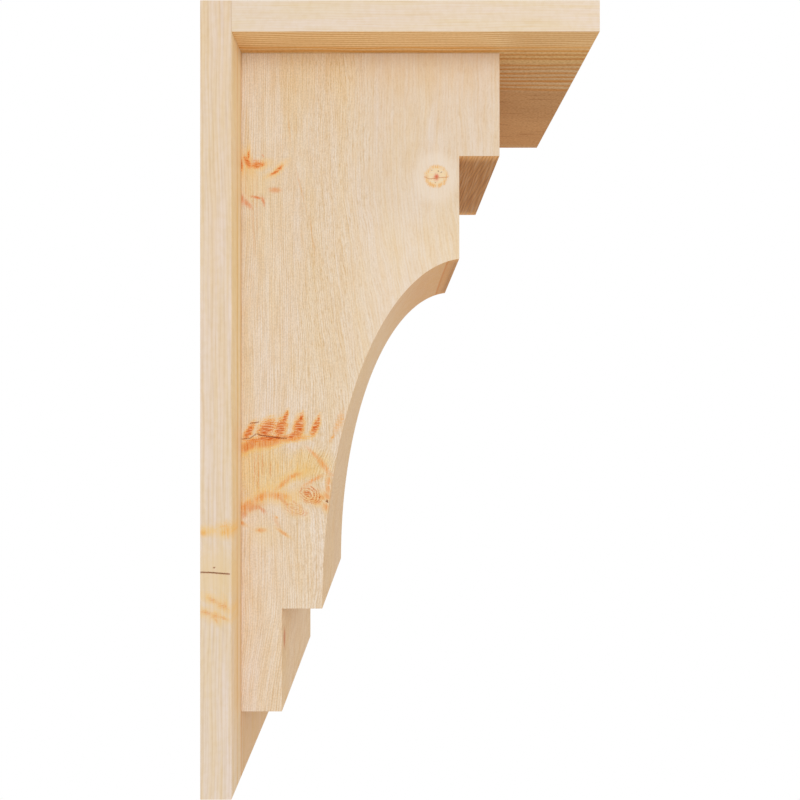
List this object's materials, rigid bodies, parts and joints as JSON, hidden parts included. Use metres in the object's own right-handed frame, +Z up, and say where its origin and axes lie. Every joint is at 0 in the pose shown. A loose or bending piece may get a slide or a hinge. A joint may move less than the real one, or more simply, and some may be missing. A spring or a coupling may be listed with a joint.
{
  "type": "wooden corbel bracket",
  "caption": "Wooden corbel bracket: a stepped and coved block glued under a shelf board, against a tall wall board.",
  "frame": {"origin": "centre of the wall board's back face, which lies on the wall", "axes": "+Z up along the wall board, +Y into the wall, so the shelf board stands out along -Y, and X across the bracket's width"},
  "size_m": [0.1906, 0.3048, 0.6096],
  "materials": {
    "wall_board_wood": null,
    "shelf_board_wood": null,
    "corbel_block_wood": null
  },
  "bodies": {
    "root": {"wall_board": "wall_board_wood", "shelf_board": "shelf_board_wood", "corbel_block": "corbel_block_wood"}
  },
  "joints": []
}
